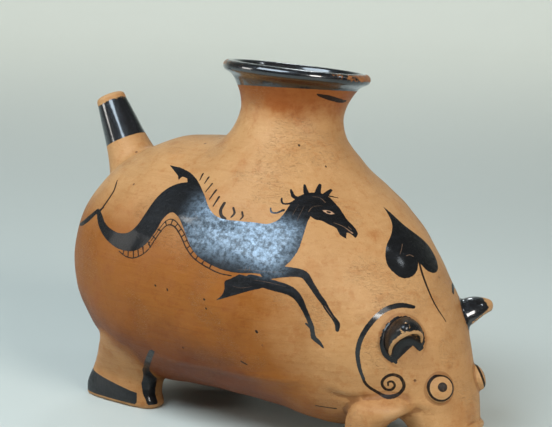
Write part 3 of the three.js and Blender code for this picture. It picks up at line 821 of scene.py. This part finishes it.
def refine(points, faces, wanted):
    """Halves the edges that are wanted and cuts the faces to suit."""
    edges, which = edges_of(faces)
    ends = points[edges]
    middle = ends.mean(1)
    split = wanted(middle, np.linalg.norm(ends[:, 0] - ends[:, 1], axis=1), edges)
    fresh = np.full(len(edges), -1)
    fresh[split] = len(points) + np.arange(split.sum())
    points = np.concatenate([points, settle(middle[split], 2)])
    mids = fresh[which]
    number = (mids >= 0).sum(1)
    made = [faces[number == 0]]
    for turn in range(3):
        f, m = np.roll(faces, -turn, 1), np.roll(mids, -turn, 1)
        one = (number == 1) & (m[:, 0] >= 0)
        made.append(np.stack([f[one, 0], m[one, 0], f[one, 2]], 1))
        made.append(np.stack([m[one, 0], f[one, 1], f[one, 2]], 1))
        two = (number == 2) & (m[:, 0] >= 0) & (m[:, 1] >= 0)
        made.append(np.stack([m[two, 0], f[two, 1], m[two, 1]], 1))
        made.append(np.stack([f[two, 0], m[two, 0], m[two, 1]], 1))
        made.append(np.stack([f[two, 0], m[two, 1], f[two, 2]], 1))
    f, m = faces[number == 3], mids[number == 3]
    made.append(m)
    for k in range(3):
        made.append(np.stack([f[:, k], m[:, k], m[:, k - 1]], 1))
    return points, np.concatenate(made)


def form_detail(middle, length, edges):
    """Which edges are too long for the form around them."""
    radius, height = neck_place(middle)
    want = (height > 39) & (height < 46) & (radius < 26) & (length > 1)
    radius, height = spout_place(middle)
    want |= (radius < 7) & (height > 8) & (length > 1.1)
    broad, facing, along = ear_place(middle)
    want |= on_ear(broad, facing) & (along > -4) & (along < 18) & (length > 0.8)
    want |= (np.linalg.norm(mirrored(middle) - EYE_AT, axis=1) < 7) & (length > 0.6)
    want |= (middle[:, 0] > 56) & (middle[:, 2] < 12) & (length > 1)
    return want


def outside(p):
    """Which points lie on the outer skin."""
    return outer_field(p)[0] > -1.2


def paint_at(p):
    """The figures' three distances at each point, far away on the inner wall."""
    found = np.full((3, len(p)), FAR_AWAY)
    shown = outside(p)
    found[:, shown] = paint(p[shown])
    return found


def paint_detail(points, limit):
    """Which edges are too long to carry the outlines of the figures: those where a straight run is wrong."""
    known = paint_at(points)

    def wanted(middle, length, edges):
        close = (length > limit) & (np.abs(known[:, edges]).min((0, 2)) < 1.2 * length)
        found = np.full((3, len(middle)), FAR_AWAY)
        found[:, close] = paint_at(middle[close])
        straight = known[:, edges].mean(2)
        wrong = (np.abs(found - straight) > PAINT_SLACK) & (np.abs(found) < 0.6 * length + 0.1)
        return close & wrong.any(0)

    return wanted


def skin():
    """The vessel's outer and inner wall as triangles, finer on rims, ears, eyes and painted edges."""
    points, quads, threes = base_mesh()
    points = settle(points, 4)
    faces = triangles(points, quads, threes)
    points = relax(points, faces, 3)
    for _ in range(2):
        points, faces = refine(points, faces, form_detail)
    for limit in PAINT_EDGES:
        points, faces = refine(points, faces, paint_detail(points, limit))
    return points, faces


def in_frame(points):
    """The points in metres in the frame, stretched by a hair so that their box is the CAD's box."""
    row = (points + SHIFT) / 1000
    low, high = row.min(0), row.max(0)
    box_low, box_high = np.array(CAD_BOX)
    return box_low + (row - low) / (high - low) * (box_high - box_low)


# What the material is told at each point of the skin.
# The clay's tone: belly darkened partly as painted shade, back and head paled partly as painted light, legs
# lifted to a paler painted-light tone.
LOWER_FLANK, UPPER_FLANK = (-52, 2), (8, 56)
PALE_HEAD, PALE_HEAD_SHARE = (8, 52), 0.85
LEG_PAINTED_LIGHT_TONE = 0.6
TAIL_POLISH, BODY_POLISH_RISE, BODY_POLISH_FROM = 0.08, 0.5, (9, 17)
LEAF_POLISH, LOW_POLISH, NEAR_EAR_POLISH = 0.12, 0.3, 0.3
CURVING_STEP, CURVING_SCALE = 0.8, 0.64
ATTRIBUTE_LIMIT = 3


def clay_tone_and_painted_light(points):
    """-1 on the dark belly, 0 on the flank and 1 on the pale back and head: partly the clay's own colour,
    partly painted shade below and painted light above, with the legs painted lighter.
    """
    lift = np.degrees(lift_round(points, section_of(points)))
    tone_and_painted_light = ease(lift, *LOWER_FLANK) - 1 + ease(lift, *UPPER_FLANK)
    tone_and_painted_light += (1 - tone_and_painted_light) * PALE_HEAD_SHARE * ease(points[:, 0], *PALE_HEAD)
    # Legs are lifted towards a paler tone as painted light.
    for rings in (HIND_LEG, FRONT_LEG):
        tone_and_painted_light += (LEG_PAINTED_LIGHT_TONE - tone_and_painted_light) * ease(leg_field(points, rings), 2.5, 0)
    return tone_and_painted_light


def rubbed_share(points):
    """How far the gloss is rubbed off round the lip, on the spout's end and on the ears."""
    radius, height = neck_place(points)
    lip = np.where((radius > 22.3) & (radius < 26), ease(height, 41.2, 42.6), 0)
    lip *= 0.55 - 0.45 * np.cos(np.arctan2(points[:, 1], points[:, 0]) + 1.2)
    radius, height = spout_place(points)
    spout_end = np.where(radius < 8, ease(height, 33.4, 36.4), 0)
    broad, facing, along = ear_place(points)
    near_rim = 0.85 - 1.6 * np.abs(ear_cup(broad, facing, along) - 0.3)
    ear = np.where(points[:, 1] > 0, ease(along, 12.4, 15.2), near_rim * ease(along, 4, 7))
    return np.maximum(np.maximum(lip, spout_end), np.where(on_ear(broad, facing), ear, 0))


def polish_share(points):
    """How strongly the gloss shines: fully on lip, spout and left ear, and least on tail and leaf."""
    neck_radius, neck_height = neck_place(points)
    spout_radius, spout_height = spout_place(points)
    broad, facing, _ = ear_place(points)
    ear = on_ear(broad, facing)
    polish = TAIL_POLISH + BODY_POLISH_RISE * ease(painted_places(points)[:, 0], *BODY_POLISH_FROM)
    polish[(points[:, 0] > 34) & (points[:, 2] > 48)] = LEAF_POLISH
    polish[points[:, 2] < 28] = LOW_POLISH
    on_neck = (neck_radius < 26) & (neck_height > 12)
    on_spout = (spout_radius < 9) & (spout_height > 5)
    polish[on_neck | on_spout | ear] = 1
    polish[ear & (points[:, 1] < 0)] = NEAR_EAR_POLISH
    return polish


def painted_sheen_share(points):
    """Where a silvery bluish sheen is painted on the gloss of the sea-horse's body."""
    u, v = painted_places(points).T
    return ease(u, 10, 24) * ease(u, 56, 48) * ease(v, 12, 21) * ease(v, 38, 31) * (points[:, 2] < 84)


def curving_at(points):
    """How the surface bends at each point: above 0 on ridges, below it in creases."""
    around = CURVING_STEP * np.concatenate([np.eye(3), -np.eye(3)])
    return sum(field(points + offset) for offset in around) / CURVING_SCALE


def pig_feeder():
    """The whole vessel as one piece, with what its material reads at each point."""
    points, faces = skin()
    mesh = bpy.data.meshes.new("pig_feeder")
    mesh.from_pydata(in_frame(points).tolist(), [], faces.tolist())
    mesh.polygons.foreach_set("use_smooth", np.ones(len(faces), bool))
    mesh.update()
    gloss, brown, scraped = paint_at(points)
    band_gloss, band_brown = bands(points)
    readings = {
        "gloss": np.minimum(gloss, band_gloss), "brown": np.minimum(brown, band_brown), "scraped": scraped,
        "curving": curving_at(points), "rubbed": rubbed_share(points), "tone_and_painted_light": clay_tone_and_painted_light(points),
        "polish": polish_share(points), "painted_sheen": painted_sheen_share(points),
    }
    for name, values in readings.items():
        values = np.clip(values, -ATTRIBUTE_LIMIT, ATTRIBUTE_LIMIT)
        attribute = mesh.attributes.new(name, "FLOAT", "POINT")
        attribute.data.foreach_set("value", values.astype(np.float32))
    mesh.materials.append(painted_terracotta())
    return placed("pig_feeder", mesh)


def placed(name, data):
    """A new object in the scene."""
    made = bpy.data.objects.new(name, data)
    bpy.context.scene.collection.objects.link(made)
    return made


# The material.
class Value:
    """A value on its way through a shader; arithmetic on it adds Math nodes."""

    def __init__(self, shader, socket):
        self.shader = shader
        self.socket = socket

    def math(self, operation, first, second):
        return self.shader.node("ShaderNodeMath", {"operation": operation}, {0: first, 1: second})

    def __add__(self, other):
        return self.math("ADD", self, other)

    def __sub__(self, other):
        return self.math("SUBTRACT", self, other)

    def __rsub__(self, other):
        return self.math("SUBTRACT", other, self)

    def __mul__(self, other):
        return self.math("MULTIPLY", self, other)

    def __abs__(self):
        return self.math("ABSOLUTE", self, 0)

    __radd__, __rmul__ = __add__, __mul__

    def over(self, other):
        """The higher of the two."""
        return self.math("MAXIMUM", self, other)

    def between(self, low, high):
        """0 up to the low value, 1 from the high one, smooth in between."""
        return self.shader.node("ShaderNodeMapRange", {"interpolation_type": "SMOOTHSTEP"},
                                {"Value": self, "From Min": low, "From Max": high})


class Shader:
    """One material, with its nodes added as they are asked for."""

    def __init__(self, name):
        self.material = bpy.data.materials.new(name)
        self.material.use_nodes = True
        self.tree = self.material.node_tree
        self.surface = self.tree.nodes["Principled BSDF"]

    def node(self, kind, settings=None, inputs=None, out=0):
        made = self.tree.nodes.new(kind)
        for key, value in (settings or {}).items():
            setattr(made, key, value)
        self.feed(made, inputs or {})
        return Value(self, made.outputs[out])

    def feed(self, made, inputs):
        """Links or sets a node's sockets."""
        for key, value in inputs.items():
            if isinstance(value, Value):
                self.tree.links.new(value.socket, made.inputs[key])
            else:
                made.inputs[key].default_value = value

    def blend(self, share, first, second, kind="MIX"):
        """One colour over another."""
        first, second = (colour if isinstance(colour, Value) else (*colour, 1) for colour in (first, second))
        settings = {"data_type": "RGBA", "blend_type": kind}
        return self.node("ShaderNodeMix", settings, {0: share, 6: first, 7: second}, 2)

    def attribute(self, name):
        return self.node("ShaderNodeAttribute", {"attribute_name": name}, out=2)


class Clay(Shader):
    """A shader with the piece's own millimetres and the patterns that several layers share."""

    def __init__(self, name):
        super().__init__(name)
        place = self.node("ShaderNodeTexCoord", out=3)
        self.mm = self.node("ShaderNodeVectorMath", {"operation": "SCALE"}, {0: place, "Scale": 1000.0})
        self.cloud = self.noise(0.11, 4, 0.6)
        self.mottle = self.noise(0.55, 4, 0.65)
        self.grain = self.noise(3.2, 3, 0.7)
        self.wheel = self.noise(1.0, 3, 0.6, self.stretched(0.05, 0.05, 0.9, (0.06, -0.04, 0)))
        self.burnish = self.noise(1.0, 3, 0.65, self.stretched(0.045, 0.5, 0.9, (0.1, 0.12, 0.05)))
        self.streak = self.noise(1.0, 4, 0.6, self.stretched(0.12, 0.12, 0.9, (0.3, 0.5, 0.2)))
        self.curving = self.attribute("curving")
        # Share of the painted sheen on the sea-horse's gloss.
        self.painted_sheen = self.attribute("painted_sheen")

    def noise(self, scale, detail=3.0, rough=0.55, place=None, distortion=0.0):
        return self.node("ShaderNodeTexNoise", {}, {
            "Vector": place or self.mm, "Scale": scale, "Detail": detail, "Roughness": rough,
            "Distortion": distortion})

    def stretched(self, x, y, z, turn):
        """Places with the pattern drawn out along the axes that are scaled down."""
        return self.node("ShaderNodeMapping", {}, {"Vector": self.mm, "Scale": (x, y, z), "Rotation": turn})


# The belly colour is partly painted shade and the back colour partly painted light.
BELLY_CLAY_AND_SHADE, FLANK_CLAY, BACK_CLAY_AND_LIGHT, LIP_SHADOW_AND_WASH_CLAY = (
    (0.135, 0.030, 0.004), (0.26, 0.084, 0.012), (0.455, 0.24, 0.096), (0.25, 0.060, 0.005))
# The ridge colour is a painted highlight on the ridges.
RIDGE_HIGHLIGHT_CLAY, PIT_DIRT, SCRATCHED_CLAY, SCRAPED_CLAY = (
    (0.52, 0.32, 0.16), (0.07, 0.025, 0.012), (0.55, 0.34, 0.17), (0.58, 0.34, 0.21))
BROWN_LINE = (0.008, 0.004, 0.0025)
# The last gloss colour is a painted bluish sheen on the sea-horse's body.
DEEP_GLOSS, STREAKED_GLOSS, PAINTED_SHEEN_GLOSS = (0.003, 0.003, 0.0035), (0.010, 0.011, 0.014), (0.22, 0.28, 0.34)
# Heights where the upper neck darkens as the lip's painted shadow over a thin glaze wash.
LIP_SHADOW_HEIGHTS = (97, 109)


def blemishes(clay):
    """Masks of the small dark pits and the fine scratches."""
    speck = clay.node("ShaderNodeTexVoronoi", {"feature": "F1"},
                      {"Vector": clay.mm, "Scale": 0.16, "Randomness": 1.0})
    pick = clay.noise(0.08, 0, place=clay.stretched(1, 1, 1, (0.4, 0.2, 0.7)))
    pit = (speck + (1 - pick.between(0.5, 0.62)) * 0.5).between(0.10, 0.035)
    lines = clay.noise(1.0, 2, 0.5, clay.stretched(0.5, 0.5, 2.6, (0.5, 0.35, 0.9)), 0.4)
    scratch = abs(lines - 0.5).between(0.012, 0.002) * clay.noise(0.06, 1).between(0.52, 0.6)
    return pit, scratch


def clay_colour(clay, pit, scratch):
    """Fired clay from the dark belly to the pale back, partly painted shade and light, with its clouds,
    stains and wear, painted shade in creases and under the lip, and a painted highlight on ridges.
    """
    tone_and_painted_light = clay.attribute("tone_and_painted_light")
    height = clay.node("ShaderNodeSeparateXYZ", {}, {0: clay.mm}, 2)
    # From belly to back: partly the clay's own colour, partly painted shade and painted light.
    colour = clay.blend((tone_and_painted_light + (clay.cloud - 0.5) * 0.8).between(-1, 0), BELLY_CLAY_AND_SHADE, FLANK_CLAY)
    colour = clay.blend((tone_and_painted_light + (clay.cloud - 0.5) * 0.9).between(-0.05, 1), colour, BACK_CLAY_AND_LIGHT)
    # The upper neck darkened as the lip's painted shadow over a thin glaze wash.
    lip_shadow = (height + (clay.cloud - 0.5) * 14).between(*LIP_SHADOW_HEIGHTS)
    colour = clay.blend(lip_shadow * 0.85, colour, LIP_SHADOW_AND_WASH_CLAY)
    # Of these tints, the last darkens the creases as painted shade.
    for pattern, low, high, strength, tint in (
            (clay.noise(0.035, 2), 0.44, 0.62, 0.5, (1.14, 1.18, 1.22)),
            (clay.cloud, 0.5, 0.72, 0.55, (0.84, 0.66, 0.5)),
            (clay.mottle, 0.5, 0.75, 0.5, (1.18, 1.26, 1.4)),
            (clay.wheel, 0.5, 0.68, 0.18, (0.76, 0.62, 0.5)),
            (clay.burnish, 0.52, 0.66, 0.2, (0.74, 0.62, 0.52)),
            (clay.grain, 0.56, 0.74, 0.6, (0.6, 0.48, 0.38)),
            (clay.noise(0.28, 4, 0.7), 0.52, 0.66, 0.5, (0.84, 0.68, 0.55)),
            (0 - clay.curving, 0.08, 0.5, 0.6, (0.5, 0.38, 0.3))):
        colour = clay.blend(pattern.between(low, high) * strength, colour, tint, "MULTIPLY")
    # Ridges lightened as a painted highlight.
    colour = clay.blend(clay.curving.between(0.35, 0.9) * 0.35, colour, RIDGE_HIGHLIGHT_CLAY)
    colour = clay.blend(pit * 0.8, colour, PIT_DIRT)
    return clay.blend(scratch * 0.5, colour, SCRATCHED_CLAY)


def paint_masks(clay, scraped):
    """How much black gloss and how much thin brown line is left at each point."""
    wobble = (clay.noise(1.3, 3, 0.6) - 0.5) * 0.28
    rub = clay.noise(0.9, 5, 0.75)
    wear = clay.curving.between(0.5, 1.3) * 0.35 + clay.attribute("rubbed") * 0.62 + rub
    worn = (wear - 0.72).between(0.02, 0.12).over(clay.noise(1.6, 4, 0.75).between(0.72, 0.78) * 0.7)
    black = (clay.attribute("gloss") + wobble).between(0.06, -0.06)
    black = black * (0.05 + scraped.between(-0.35, 0.07) * 0.95) * (1 - worn)
    thin = (clay.attribute("brown") + wobble * 0.6).between(0.07, -0.07)
    return black, thin * (0.86 + clay.noise(0.9, 3, 0.7).between(0.25, 0.5) * 0.14)


def painted_terracotta():
    """Burnished clay with painted light and shade, under black gloss with a painted sheen, thin brown lines
    and lines scraped through them.
    """
    clay = Clay("painted_terracotta")
    scraped, polish = clay.attribute("scraped"), clay.attribute("polish")
    pit, scratch = blemishes(clay)
    body = clay_colour(clay, pit, scratch)
    black, thin = paint_masks(clay, scraped)
    # The painted sheen: bright bluish colour and metal shine on the sea-horse's body.
    sheen_mask = clay.painted_sheen * (0.3 + clay.noise(0.7, 5, 0.7).between(0.36, 0.62) * 0.7)
    gloss = clay.blend(clay.streak.between(0.45, 0.7) * 0.5, DEEP_GLOSS, STREAKED_GLOSS)
    gloss = clay.blend(sheen_mask, gloss, PAINTED_SHEEN_GLOSS)
    colour = clay.blend(scraped.between(0.1, -0.02) * 0.8, body, SCRAPED_CLAY)
    colour = clay.blend(thin * 0.98, colour, BROWN_LINE)
    colour = clay.blend(black, colour, gloss)

    rough = 0.46 + (clay.mottle - 0.5) * 0.25 + (clay.grain - 0.5) * 0.12
    shine = 0.15 + clay.painted_sheen * 0.08 + (1 - polish) * 0.3 + clay.streak.between(0.4, 0.7) * 0.1
    shine = shine + clay.noise(0.8, 5, 0.7).between(0.45, 0.7) * 0.2

    relief = (clay.grain - 0.5) * 0.05 + (clay.mottle - 0.5) * 0.10 + (clay.wheel - 0.5) * 0.10
    relief = relief - pit * 0.25 - scratch * 0.08
    relief = relief + black * ((clay.noise(0.8, 5, 0.62) - 0.5) * 0.2 + 0.035) + thin * 0.02
    relief = relief + (clay.burnish - 0.5) * 0.08
    bump = clay.node("ShaderNodeBump", {}, {"Strength": 1.0, "Distance": 0.001, "Height": relief})
    clay.feed(clay.surface, {
        "Base Color": colour, "Roughness": rough + (shine - rough) * black, "Normal": bump,
        "Metallic": black * sheen_mask, "Coat Weight": black * polish * (1 - clay.painted_sheen * 0.75),
        "Coat Roughness": 0.12, "Coat Tint": (0.86, 0.93, 1, 1), "Coat IOR": 1.7,
        "Specular IOR Level": 0.18, "IOR": 1.5})
    return clay.material


# The camera, with its place in millimetres and its angles as they were measured.
AZIMUTH, ELEVATION, ROLL = (math.radians(angle) for angle in (36.5225, 12.5816, 1.4469))
CAMERA_AIM = np.array((0, 0, 60))
CAMERA_DISTANCE = 541.956
LENS, SENSOR = 107.6, 36
PHOTO_WIDTH = 552
# How far the picture's middle is off the lens's middle, in pixels.
SHIFT_RIGHT, SHIFT_UP = -6.84, 23.92
# The backdrop and the lights, in metres.
SWEEP_HALF_WIDTH = 4
SWEEP_FRONT, SWEEP_BEND, SWEEP_RADIUS, SWEEP_TOP = -2.2, 1.1, 0.5, 2.6
SWEEP = [
    (SWEEP_FRONT, 0), (SWEEP_BEND, 0),
    *((SWEEP_BEND + SWEEP_RADIUS * math.sin(a), SWEEP_RADIUS - SWEEP_RADIUS * math.cos(a))
      for a in np.linspace(0.1, 1.57, 16)),
    (SWEEP_BEND + SWEEP_RADIUS, SWEEP_TOP),
]
FLOOR_COLOUR, FLOOR_ROUGHNESS = (0.56, 0.60, 0.56, 1), 0.5
LIT_MIDDLE = np.array((0, 0, 0.06))
# Name, direction from the vessel, distance, size, watts and colour.
LIGHTS = (
    ("key", (0.82, -0.32, 0.48), 1.0, (0.32, 0.32), 6, (1, 0.97, 0.92)),
    ("window", (-0.10, -0.60, 0.76), 0.85, (0.62, 0.44), 8, (0.74, 0.88, 1)),
    ("fill", (-0.70, -0.62, 0.25), 0.9, (0.3, 0.3), 2.0, (1, 0.97, 0.92)),
    ("leaf_glint", (0.589, 0.475, 0.654), 0.9, (0.07, 0.09), 0.4, (0.85, 0.94, 1)),
    ("lip_glint", (-0.373, 0.651, 0.661), 0.9, (0.12, 0.12), 0.8, (0.9, 0.96, 1)),
)
WORLD_COLOUR, WORLD_STRENGTH = (1, 0.98, 0.95, 1), 0.12


def turned(x, y, z):
    """A place given from the camera's side of the stage, with y away from it."""
    return (x * math.cos(AZIMUTH) - y * math.sin(AZIMUTH), x * math.sin(AZIMUTH) + y * math.cos(AZIMUTH), z)


def backdrop():
    """A pale floor that curves up into a wall behind the vessel."""
    form = bmesh.new()
    bmesh.ops.create_grid(form, x_segments=1, y_segments=len(SWEEP) - 1, size=1)
    for vertex in form.verts:
        y, z = SWEEP[round((vertex.co.y + 1) / 2 * (len(SWEEP) - 1))]
        vertex.co = turned(round(vertex.co.x) * SWEEP_HALF_WIDTH, y, z)
    for face in form.faces:
        face.smooth = True
    mesh = bpy.data.meshes.new("floor")
    form.to_mesh(mesh)
    form.free()
    plain = Shader("pale_floor")
    plain.feed(plain.surface, {"Base Color": FLOOR_COLOUR, "Roughness": FLOOR_ROUGHNESS})
    mesh.materials.append(plain.material)
    return placed("floor", mesh)


def pose(thing, right, up, back, place):
    """Turns a light or camera by its own right, up and back directions."""
    columns = np.stack([right, up, back], 1)
    rows = [[*row, at] for row, at in zip(columns.tolist(), place)]
    thing.matrix_world = Matrix(rows + [[0, 0, 0, 1]])


def softbox(name, place, target, size, watts, colour, spread=180):
    """A rectangular light that faces its target."""
    light = bpy.data.lights.new(name, "AREA")
    light.shape = "RECTANGLE"
    light.size, light.size_y = size
    light.energy = watts
    light.color = colour
    light.spread = math.radians(spread)
    away = unit(np.array(place) - np.array(target))
    side = unit(np.cross((0, 0, 1), away))
    pose(placed(name, light), side, np.cross(away, side), away, place)


def lights():
    """The lights round the vessel, the strip that lights the wall behind it and a dim warm world."""
    for name, toward, reach, size, watts, colour in LIGHTS:
        softbox(name, LIT_MIDDLE + reach * unit(toward), LIT_MIDDLE, size, watts, colour)
    softbox("backdrop", turned(0, 0.85, 1.2), turned(0, 1.3, 0), (2.6, 0.3), 7, (1, 0.99, 0.95), 90)
    world = bpy.data.worlds.new("studio")
    world.use_nodes = True
    background = world.node_tree.nodes["Background"]
    background.inputs["Color"].default_value = WORLD_COLOUR
    background.inputs["Strength"].default_value = WORLD_STRENGTH
    bpy.context.scene.world = world


def camera():
    """The camera that the vessel's sizes were measured through."""
    right = np.array((math.cos(AZIMUTH), math.sin(AZIMUTH), 0))
    back = np.array((math.sin(AZIMUTH) * math.cos(ELEVATION), -math.cos(AZIMUTH) * math.cos(ELEVATION),
                     math.sin(ELEVATION)))
    up = np.cross(back, right)
    rolled = math.cos(ROLL) * right + math.sin(ROLL) * up
    upright = math.cos(ROLL) * up - math.sin(ROLL) * right
    lens = bpy.data.cameras.new("camera")
    lens.lens = LENS
    lens.sensor_width = SENSOR
    lens.shift_x = SHIFT_RIGHT / PHOTO_WIDTH
    lens.shift_y = SHIFT_UP / PHOTO_WIDTH
    made = placed("camera", lens)
    pose(made, rolled, upright, back, (CAMERA_AIM + SHIFT + back * CAMERA_DISTANCE) / 1000)
    bpy.context.scene.camera = made


feeder = pig_feeder()
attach(feeder, "root")
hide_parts("vessel")
floor = backdrop()
camera()
lights()
bpy.context.scene.view_settings.view_transform = "Standard"
